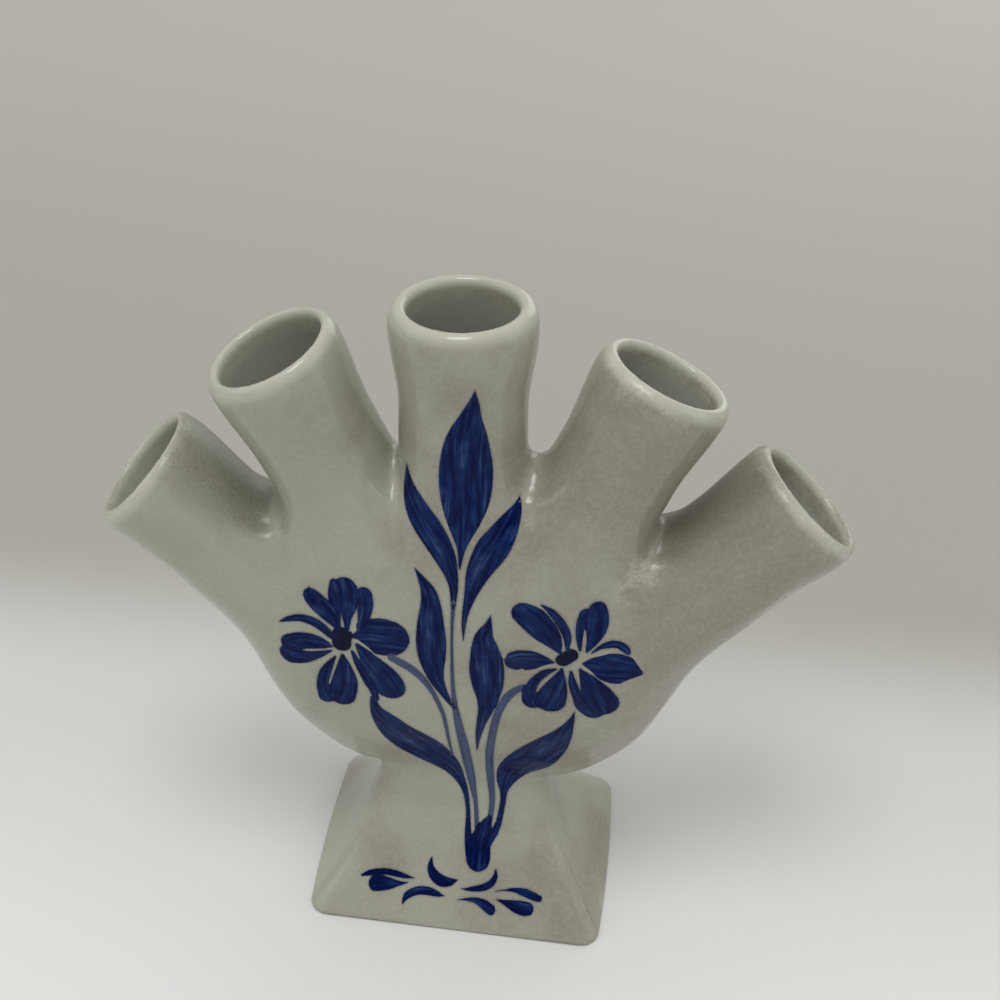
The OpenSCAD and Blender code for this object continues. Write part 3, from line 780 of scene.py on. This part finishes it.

# %% [markdown]
# ## Cobalt brushwork
# The front carries a traditional spray of two flowers and six leaves, and a small scroll on the
# foot, each mark one pull of a loaded brush. They could be drawn into a texture, but there is no
# picture file here, and drawn in a shader they would be a knot of formulas. So each mark is a thin
# closed skin of its own, laid on the clay: a path on the front plane with a half width at each
# point, in millimetres, read off the photograph. The field says how deep the clay lies
# under every point.

# %% The marks of the brush
BRUSH_MARKS = {
    "leaf_top": [
        [(3.3, 144.9, 0.07), (2.9, 141.5, 1.2), (2.2, 137.8, 2.31), (1.7, 134.1, 3.68),
         (1.4, 129.9, 4.73), (1.4, 124.3, 5.36), (1.4, 119.2, 4.94), (1.2, 114.7, 3.54),
         (1, 111.1, 2.04), (0.9, 107.8, 0.88), (0.6, 103.2, 0.19)],
    ],
    "leaf_upper_left": [
        [(-11.2, 123.3, 0.12), (-10.6, 120, 1.18), (-9.7, 117.4, 2.12), (-8.2, 114.5, 2.92),
         (-6.2, 111.8, 3.15), (-4.2, 108.9, 2.89), (-2.5, 105.7, 2.35), (-1.3, 102.2, 1.63),
         (-0.6, 98.5, 1), (-0.6, 93.6, 0.53)],
    ],
    "leaf_upper_right": [
        [(11.9, 117.9, 0.08), (11.6, 116.1, 1.04), (10.2, 113.3, 2.27), (8.7, 110.5, 3.06),
         (7, 107.7, 3.44), (4.6, 102.7, 2.58), (3.1, 97.4, 1.46), (2.1, 92.9, 0.82),
         (1.6, 88.7, 0.49), (1.5, 84.3, 0.09)],
    ],
    "stem_centre": [
        [(-0.6, 94.2, 0.53), (-0.9, 88.4, 0.36), (-1, 81.3, 0.33), (-0.9, 72.5, 0.42),
         (-0.5, 65.9, 0.59), (0.2, 59.6, 0.89), (1.1, 51.4, 1.13), (1.9, 42.9, 1.12),
         (2.8, 35.9, 0.92), (3.7, 30.4, 0.53), (4.1, 26.1, 0.53), (4.4, 22.8, 0.63)],
    ],
    "leaf_mid_left": [
        [(-8.8, 101.8, 0.1), (-7.4, 99.5, 0.89), (-5.9, 96.5, 1.71), (-5.4, 92.7, 2.29),
         (-5.5, 88.6, 2.86), (-5.5, 83.5, 3.32), (-5.4, 79.2, 3.1), (-5.1, 75.5, 2.38),
         (-4.3, 71.8, 1.66), (-3, 68.6, 1.05), (-1.7, 66, 0.64), (-0.8, 64.3, 0.39)],
    ],
    "leaf_mid_right": [
        [(7.3, 92, 0.08), (6.8, 89.2, 0.95), (6, 86.1, 1.98), (6.2, 83, 2.93), (6.5, 79.4, 3.58),
         (6.6, 75.5, 3.83), (6.8, 71.6, 3.36), (6.8, 68, 2.42), (6.4, 64.3, 1.7),
         (5.5, 60.1, 1.12), (4.7, 55, 0.68), (4.2, 48.6, 0.11)],
    ],
    "flower_left": [
        [(-25.4, 84.6, 0.37), (-25.9, 87.7, 0.92), (-26.4, 90.9, 1.28), (-26.6, 93.6, 1.09),
         (-26.1, 95.8, 1.16)],
        [(-23.7, 84.3, 0.49), (-23.7, 87.3, 1.09), (-23.4, 90.6, 2.03), (-23.4, 93.7, 2.46),
         (-23.8, 95.4, 2.37)],
        [(-20.9, 85, 0.56), (-19.9, 88.6, 1.45), (-19.5, 91.7, 1.69), (-19.8, 94, 1.8)],
        [(-26.1, 84.3, 0.4), (-27.9, 87.5, 1.78), (-29.6, 89.6, 2.25), (-31.1, 91.2, 2.08),
         (-31.6, 91.8, 1.67)],
        [(-31, 91.1, 1.48), (-31.6, 92.4, 0.87), (-31.9, 93.7, 0.14)],
        [(-38.7, 84, 0.15), (-36.9, 84.9, 0.69), (-34.2, 85.6, 0.95), (-31.5, 85.2, 1.14),
         (-29.3, 84, 1.15), (-27, 81.7, 0.82)],
        [(-27.5, 79, 0.45), (-30.4, 79.7, 1.81), (-33.8, 79.6, 2.27), (-36.6, 78.7, 2.26)],
        [(-27.6, 77.7, 0.3), (-30.6, 76.2, 1.09), (-33.8, 75.1, 1.81), (-36.6, 75.5, 2.72)],
        [(-26.8, 76, 0.31), (-28.9, 71.9, 1.28), (-30, 67.7, 1.42), (-29.3, 63.8, 1.91)],
        [(-25.1, 76.7, 0.45), (-24.9, 72.9, 1.81), (-25, 68.6, 2.97), (-25.7, 64.6, 3.05)],
        [(-21.9, 80, 0.37), (-19.9, 77.1, 1.58), (-17.8, 73.8, 2.82), (-15.9, 70.8, 3.59),
         (-14.8, 68.6, 3.53)],
        [(-22.9, 78.1, 0.37), (-21.9, 75.2, 0.85), (-20.5, 71.9, 1.17), (-19.3, 69.1, 1.27),
         (-18.5, 66.8, 0.97), (-18.1, 64.4, 0.71)],
        [(-21.9, 82.6, 0.61), (-20.3, 82.9, 2.51), (-18.6, 83.1, 4.25), (-16.6, 83, 5.15),
         (-15.3, 82.9, 5.16)],
    ],
    "stem_left": [
        [(-14.3, 77.3, 0.87), (-12.6, 76.3, 0.99), (-10.2, 74.8, 0.97), (-7.9, 72.5, 0.87),
         (-5.9, 69.4, 0.67), (-4.3, 65.7, 0.54), (-3.1, 61.6, 0.48), (-2.5, 56.6, 0.43),
         (-2.1, 50.9, 0.36), (-1.5, 44.9, 0.25)],
    ],
    "leaf_lower_left": [
        [(-18.9, 64.6, 0.61), (-18.1, 60.7, 1.56), (-16.1, 57, 3.01), (-13.6, 52.9, 4.16),
         (-10.6, 49.6, 4.83), (-7.5, 46.8, 4.7), (-4.6, 43.7, 3.69), (-2.1, 40.4, 2.42),
         (-0.1, 36.5, 1.27), (1.3, 32.8, 0.74), (1.9, 28.6, 0.56), (2.2, 25.1, 0.58)],
    ],
    "flower_right": [
        [(22.3, 83.3, 0.34), (20.6, 86.8, 1.92), (18.4, 89.9, 3.06), (16.2, 92.4, 3.22),
         (14.4, 93.6, 2.79)],
        [(17.9, 96.3, 0.19), (19.9, 94.8, 0.8), (21.5, 92.7, 1.01), (22.8, 90.2, 1.04),
         (23.6, 87.7, 0.9), (23.7, 85.7, 0.63), (23.7, 84.4, 0.36)],
        [(26.4, 84.6, 0.34), (26.1, 88, 0.8), (26.3, 91.4, 1.07), (27.2, 94.1, 1.44)],
        [(27.9, 84.5, 0.38), (29, 87.5, 1.39), (29.6, 90.8, 2.31), (29.7, 93.5, 2.27),
         (29.5, 95.4, 1.84)],
        [(28.9, 84.2, 0.16), (30.6, 85.8, 0.51), (32.6, 86.8, 0.86), (34.5, 87, 0.98),
         (36.1, 86, 0.94), (36.5, 85.2, 0.57)],
        [(27.5, 81.2, 0.41), (29.4, 81.3, 1.61), (31.7, 80.9, 3.17), (34.1, 80.7, 4.06),
         (36.2, 80.6, 3.66), (38.1, 80.1, 1.89), (39.8, 79.6, 0.29)],
        [(24.8, 78.6, 0.35), (25.3, 75.7, 0.97), (26.4, 72.3, 1.27), (28.1, 69.1, 2.05),
         (30, 68.1, 2.66)],
        [(26.8, 79.5, 0.43), (28.6, 76.8, 1.82), (30.5, 73.5, 3.25), (32, 70.6, 3.7)],
        [(21.5, 78.8, 0.31), (19.2, 77.4, 0.96), (17.1, 74.5, 1.14), (16, 71, 1.52),
         (16.7, 68.7, 2.38)],
        [(22.8, 79.1, 0.34), (22.3, 75.9, 1.58), (21.5, 72.4, 2.81), (20.6, 69.2, 3.43)],
        [(21.1, 80.6, 0.23), (18.7, 81, 1.39), (15.9, 80.9, 2.89), (13.5, 80.4, 3.04),
         (12.4, 79.4, 1.98)],
    ],
    "stem_right": [
        [(14.8, 72.5, 0.68), (12.4, 70.5, 0.92), (10.7, 67.9, 0.94), (9.4, 64.4, 0.89),
         (8.5, 60.2, 0.89), (7.7, 54.3, 0.92), (7.1, 48.2, 0.96), (7, 41.3, 0.94),
         (7.3, 35.9, 0.83), (7.7, 31.8, 0.69), (7.6, 27.8, 0.64), (7.2, 24.6, 0.71)],
    ],
    "leaf_lower_right": [
        [(26.1, 66.7, 0.09), (25.1, 62.5, 1.03), (23.3, 57.8, 2.4), (20.6, 52.8, 3.99),
         (16.6, 46.5, 4.95), (12.8, 41.5, 3.89), (10.9, 37.4, 2.3), (10.4, 34.1, 1.03),
         (10.3, 30.9, 0.71), (9.9, 27.5, 0.71), (9.5, 24.7, 0.76), (8.8, 21.8, 0.71)],
    ],
    "foot_scroll": [
        [(-22.7, 9.4, 0.28), (-20.8, 10.1, 0.64), (-17.9, 10.7, 0.68), (-14.9, 10.6, 0.73),
         (-12.5, 10.2, 0.57), (-9.9, 10, 0.08)],
        [(-11.4, 8.9, 0.08), (-13.8, 8.5, 0.62), (-16.2, 8.3, 1.37), (-18.4, 8.2, 1.72),
         (-19.3, 8, 1.68)],
        [(-12.3, 4.7, 0.23), (-11.5, 6.2, 0.79), (-9.5, 7.3, 0.88), (-7.3, 7.7, 0.92),
         (-5.1, 7.5, 0.82), (-3.4, 7.2, 0.45), (-2.3, 7.1, 0.06)],
        [(-6, 14.8, 0.19), (-6.2, 13.1, 0.73), (-5.5, 11.5, 1.18), (-3.9, 10.3, 1.3),
         (-1.9, 10, 1.07), (-0.5, 10.3, 0.66), (0.6, 10.7, 0.08)],
        [(9.6, 13.7, 0.24), (9.6, 12.3, 0.61), (8.8, 10.9, 0.79), (7.1, 9.9, 0.78),
         (4.7, 9.3, 0.61), (2.5, 9, 0.24), (1.6, 9, 0.06)],
        [(1.1, 6.7, 0.06), (3.2, 7, 0.34), (5.4, 7, 0.66), (7.4, 6.4, 1.06), (9.1, 5.5, 1.16)],
        [(9.8, 9.3, 0.06), (12.2, 9.8, 0.2), (14.6, 10, 0.53), (17, 9.7, 0.88),
         (19.2, 9.1, 0.88), (20.5, 8.8, 0.7)],
        [(10.2, 7.7, 0.06), (12.4, 7.3, 0.62), (14.6, 6.8, 1.22), (16.8, 6.5, 1.52),
         (18, 6.5, 1.39)],
    ],
    "heart_left": [
        [(-25, 82.6, 2.15), (-25.1, 80.1, 2.17)],
    ],
    "heart_right": [
        [(22.9, 81.5, 1.65), (24.6, 83.1, 1.65)],
    ],
    "knot": [
        [(2.1, 26.1, 0.55), (2.3, 22.1, 0.8), (2.8, 18.5, 1.14), (4.3, 15.9, 2.16)],
        [(7, 25.4, 0.76), (6.1, 22.5, 1.9), (5.3, 18.8, 2.7), (5.1, 15.8, 2.96)],
        [(9.5, 24.9, 0.71), (8.6, 22.3, 0.94), (7.2, 19.7, 1.05)],
    ],
}
print("brush marks:", sum(len(marks) for marks in BRUSH_MARKS.values()))

# %% Pull a mark into a path with round ends
STEP_MM, THINNEST, HALO = 0.6, 0.05, 0.3
CAP_TURNS = np.radians([25, 48, 68, 82, 90])


def brush_path(mark):
    knots = np.array(mark, float)
    knots = np.vstack([2 * knots[0] - knots[1], knots, 2 * knots[-1] - knots[-2]])
    path = []
    for before, a, b, after in zip(knots, knots[1:], knots[2:], knots[3:]):
        count = max(2, int(np.hypot(*(b - a)[:2]) / STEP_MM))
        t = np.linspace(0, 1, count, endpoint=False)[:, None]
        path.append(0.5 * (2 * a + (b - before) * t + (2 * before - 5 * a + 4 * b - after) * t ** 2
                           + (3 * a - before - 3 * b + after) * t ** 3))
    path = np.vstack(path + [knots[-2]])
    path[:, 2] = np.maximum(path[:, 2], THINNEST)
    return path


def rounded_ends(path):
    caps = []
    for tip, inner in ((path[0], path[1]), (path[-1], path[-2])):
        way = (tip - inner)[:2]
        way = way / np.linalg.norm(way)
        reach = tip[2] + HALO
        steps = np.sin(CAP_TURNS) * reach
        width = np.sqrt(np.maximum(reach ** 2 - steps ** 2, 1e-6))
        caps.append(np.column_stack([tip[0] + way[0] * steps, tip[1] + way[1] * steps, width]))
    middle = path + [0, 0, HALO]
    return np.vstack([caps[0][::-1], middle, caps[1]])


ALL_PATHS = [brush_path(mark) for marks in BRUSH_MARKS.values() for mark in marks]
print("points on all paths:", sum(len(path) for path in ALL_PATHS))

# %% Find the clay under a mark
IN_FRONT, HALVINGS = -32.0, 26
ACROSS = np.linspace(-1, 1, 11)
NO_INK = -9.0


def front_of_clay(x, z):
    near, far = np.full(len(x), IN_FRONT), np.zeros(len(x))
    for _ in range(HALVINGS):
        y = (near + far) / 2
        outside = skin_and_hollow(x, y, z)[0] > 0
        near, far = np.where(outside, y, near), np.where(outside, far, y)
    return np.column_stack([x, (near + far) / 2, z])


def skin_normals(points):
    way = slope(lambda x, y, z: skin_and_hollow(x, y, z)[0], points)
    return way / np.linalg.norm(way, axis=1)[:, None]


def mark_grid(path):
    wide = rounded_ends(path)
    way = np.gradient(wide[:, :2], axis=0)
    way /= np.linalg.norm(way, axis=1)[:, None]
    side = np.column_stack([-way[:, 1], way[:, 0]])
    across = wide[:, 2:3] * ACROSS
    flat = wide[:, None, :2] + side[:, None] * across[:, :, None]
    run = np.concatenate([[0], np.cumsum(np.hypot(*np.diff(wide[:, :2], axis=0).T))])
    return flat, np.repeat(run[:, None], len(ACROSS), 1), across


def ink_edge(flat, paths):
    depth = np.full(len(flat), NO_INK)
    for path in paths:
        gap = np.hypot(flat[:, None, 0] - path[:, 0], flat[:, None, 1] - path[:, 1])
        depth = np.maximum(depth, (path[:, 2] - gap).max(1))
    return depth


belly_front = front_of_clay(np.zeros(1), np.full(1, BELLY_Z))[0]
print("front of the belly, mm:", belly_front.round(1))

# %% Build one painted piece
SUNK, LIFT, LAYER, LAYERS = 0.35, 0.035, 0.006, 6


def grid_faces(grid, under):
    top = np.stack([grid[:-1, :-1], grid[1:, :-1], grid[1:, 1:], grid[:-1, 1:]], -1)
    top = top.reshape(-1, 4)
    rim = np.concatenate([grid[0, :-1], grid[:-1, -1], grid[-1, :0:-1], grid[:0:-1, 0]])
    after = np.roll(rim, -1)
    return [top, top[:, ::-1] + under, np.stack([rim, after, after + under, rim + under], 1)]


def brush_piece(name, marks, load):
    paths = [brush_path(mark) for mark in marks]
    points, faces, normals = [], [], []
    values = {"run": [], "across": [], "ink": [], "dab": []}
    start = 0
    for number, path in enumerate(paths):
        flat, run, across = mark_grid(path)
        rows, cols = run.shape
        flat = flat.reshape(-1, 2)
        ground = front_of_clay(flat[:, 0], flat[:, 1])
        out = skin_normals(ground)
        points += [ground + out * (LIFT + LAYER * (number % LAYERS)), ground - out * SUNK]
        under = rows * cols
        faces += grid_faces(np.arange(under).reshape(rows, cols) + start, under)
        normals += [out, -out]
        edge = ink_edge(flat, ALL_PATHS)
        for key, value in (("run", run.ravel()), ("across", across.ravel()), ("ink", edge)):
            values[key] += [value, value]
        values["dab"].append(np.full(2 * under, number + load))
        start += 2 * under
    piece = mesh_object(name, np.concatenate(points), np.concatenate(faces).tolist())
    mesh = piece.data
    for key, parts in values.items():
        put_values(mesh, key, np.concatenate(parts))
    put_values(mesh, "load", np.full(start, load))
    corner = np.empty(len(mesh.loops), np.int32)
    mesh.loops.foreach_get("vertex_index", corner)
    mesh.polygons.foreach_set("use_smooth", np.ones(len(mesh.polygons), bool))
    mesh.normals_split_custom_set(np.concatenate(normals)[corner])
    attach(piece, "root")
    return piece


print("marks stand %.3f to %.3f mm proud" % (LIFT, LIFT + LAYER * (LAYERS - 1)))

# %% Paint the front
LOADS = {"stem": 0.3, "flower": 0.75, "leaf": 0.7, "foot": 0.85, "heart": 1.0, "knot": 0.9}
brushwork = {}
for name, marks in BRUSH_MARKS.items():
    brushwork[name] = brush_piece("cobalt_" + name, marks, LOADS[name.split("_")[0]])
print("painted:", ", ".join(brushwork))

# %% [markdown]
# ## Cobalt under glaze
# The blue is cobalt in the same glaze, so it shares the peel, though it shines less. One flat blue
# would look printed. The colour thins out where the brush ran dry and pools dark at the rims and
# the tips. Streaks follow the pull of the brush, because their noise is stretched along the mark's
# own length.

# %% Mix the cobalt
INK_DARK, INK_BLUE = colour(0, 10, 61), colour(12, 38, 90)
INK_THIN, INK_BLACK = colour(54, 73, 115), colour(9, 13, 30)
STREAKS = (("across", 1.1), ("run", 0.09), ("dab", 7.3))
WASH, RAGGED, STEM_COVER, COBALT_GLOSS = 0.35, 1.6, 0.86, 0.1


def cobalt_glaze():
    material, tree, shader, place, tone = new_glaze("cobalt_glaze", COBALT_GLOSS)
    ink, load = kept(tree, "ink"), kept(tree, "load")
    pull = [sums(tree, "MULTIPLY", kept(tree, key), scale) for key, scale in STREAKS]
    pull = add(tree, "CombineXYZ", dict(enumerate(pull))).outputs[0]
    streak = noise(tree, pull, 1.0, 2.0, 0.55)
    wash = noise(tree, place, WASH, 2.0)
    thin = between(tree, load, 1.0, 0.2, -0.22, 0.2)
    shade = sums(tree, "ADD", sums(tree, "MULTIPLY_ADD", wash, 0.35, streak), thin)
    blue = blend(tree, between(tree, shade, 0.42, 0.68), INK_DARK, INK_BLUE)
    blue = blend(tree, between(tree, shade, 0.6, 0.92), blue, INK_THIN)
    pooled = between(tree, ink, 0.1, 0.55, 0.55, 0.0)
    blue = blend(tree, pooled, blue, INK_DARK)
    heavy = between(tree, load, 0.92, 1.0, 0.0, 0.75)
    blue = blend(tree, heavy, blue, INK_BLACK)
    ragged = sums(tree, "MULTIPLY_ADD", noise(tree, place, RAGGED, 2.0), 0.22, ink)
    cover = sums(tree, "MULTIPLY", between(tree, ragged, 0.02, 0.24),
                 between(tree, load, 0.3, 0.5, STEM_COVER, 1.0))
    halo = between(tree, ragged, -0.4, 0.1, 0.0, 0.3)
    under = blend(tree, halo, tone, INK_THIN)
    tree.links.new(blend(tree, cover, under, blue), shader.inputs["Base Color"])
    return material


cobalt = cobalt_glaze()
for piece in brushwork.values():
    piece.data.materials.append(cobalt)
print("cobalt:", len(cobalt.node_tree.nodes), "nodes")

# %% [markdown]
# ## Floor and light
# The photograph has a plain pale table that greys off behind the vase, and soft light. One strong
# lamp would be simpler, but its shadow would be hard. Most of the light is an even sky, brighter
# overhead, which keeps the colours near what the materials say. A lamp near the ceiling gives the
# glaze its bright streaks. Wide weak ones at the sides round the fingers and the foot, and one
# behind keeps the back from going dark.

# %% Lay the floor
FLOOR_SIZE = 4.0
TABLE_FRONT_LIT, TABLE_MIDDLE = colour(230, 231, 230), colour(211, 211, 209)
TABLE_BEHIND_SHADED, TABLE_BEYOND = colour(173, 171, 164), colour(196, 193, 187)
floor_mesh = bpy.data.meshes.new("floor")
half = FLOOR_SIZE / 2
floor_mesh.from_pydata([(-half, -half, 0), (half, -half, 0), (half, half, 0), (-half, half, 0)],
                       [], [(0, 1, 2, 3)])
floor = bpy.data.objects.new("floor", floor_mesh)
bpy.context.scene.collection.objects.link(floor)
table_top = bpy.data.materials.new("pale_table")
table_top.use_nodes = True
tree = table_top.node_tree
paper = tree.nodes["Principled BSDF"]
paper.inputs["Roughness"].default_value = 0.7
paper.inputs["Specular IOR Level"].default_value = 0.2
spot = add(tree, "TexCoord").outputs["Object"]
away = add(tree, "SeparateXYZ", {0: spot}).outputs["Y"]
# The table is painted lighter in front of the vase, as a pool of light, and darker in a band just
# behind it, as painted shade, before it lightens again further off.
shade = blend(tree, between(tree, away, -0.07, 0.06), TABLE_FRONT_LIT, TABLE_MIDDLE)
shade = blend(tree, between(tree, away, 0.045, 0.11), shade, TABLE_BEHIND_SHADED)
shade = blend(tree, between(tree, away, 0.15, 0.7), shade, TABLE_BEYOND)
tree.links.new(shade, paper.inputs["Base Color"])
floor_mesh.materials.append(table_top)
print("floor: %.0f m square" % FLOOR_SIZE)

# %% Hang the lamps
LAMPS = {
    "ceiling": dict(place=(-0.06, -0.28, 1.2), aim=0.07, size=0.5, watts=4.2),
    "left_wall": dict(place=(-1.3, -0.3, 0.8), aim=0.07, size=1.0, watts=1.8),
    "right_wall": dict(place=(1.2, -0.1, 0.5), aim=0.05, size=1.0, watts=1.6),
    "back_wall": dict(place=(0.5, 1.4, 0.4), aim=0.08, size=1.0, watts=2.6),
}


def soft_lamp(name, place, aim, size, watts):
    lamp = bpy.data.lights.new(name, "AREA")
    lamp.shape, lamp.size, lamp.energy = "DISK", size, watts
    holder = bpy.data.objects.new(name, lamp)
    bpy.context.scene.collection.objects.link(holder)
    way = np.array([0, 0, aim]) - np.array(place)
    turn = math.atan2(way[1], way[0]) - math.pi / 2
    tilt = math.atan2(way[2], math.hypot(way[0], way[1])) + math.pi / 2
    holder.matrix_world = (Matrix.Translation(place) @ Matrix.Rotation(turn, 4, "Z")
                           @ Matrix.Rotation(tilt, 4, "X"))


for name, lamp in LAMPS.items():
    soft_lamp(name, **lamp)
print("lamps:", ", ".join(LAMPS))

# %% Light the sky
SKY_TINT = (1.0, 0.99, 0.96, 1.0)
SKY_LOW, SKY_HIGH = 0.25, 0.8
sky = bpy.data.worlds.new("soft_sky")
bpy.context.scene.world = sky
sky.use_nodes = True
tree = sky.node_tree
air = tree.nodes["Background"]
air.inputs["Color"].default_value = SKY_TINT
direction = add(tree, "TexCoord").outputs["Generated"]
aloft = add(tree, "SeparateXYZ", {0: direction}).outputs["Z"]
brightness = sums(tree, "MULTIPLY_ADD", aloft, SKY_HIGH - SKY_LOW, SKY_LOW)
tree.links.new(brightness, air.inputs["Strength"])
bpy.context.scene.view_settings.view_transform = "Standard"
print("sky from", SKY_LOW, "at the horizon to", SKY_HIGH, "overhead")
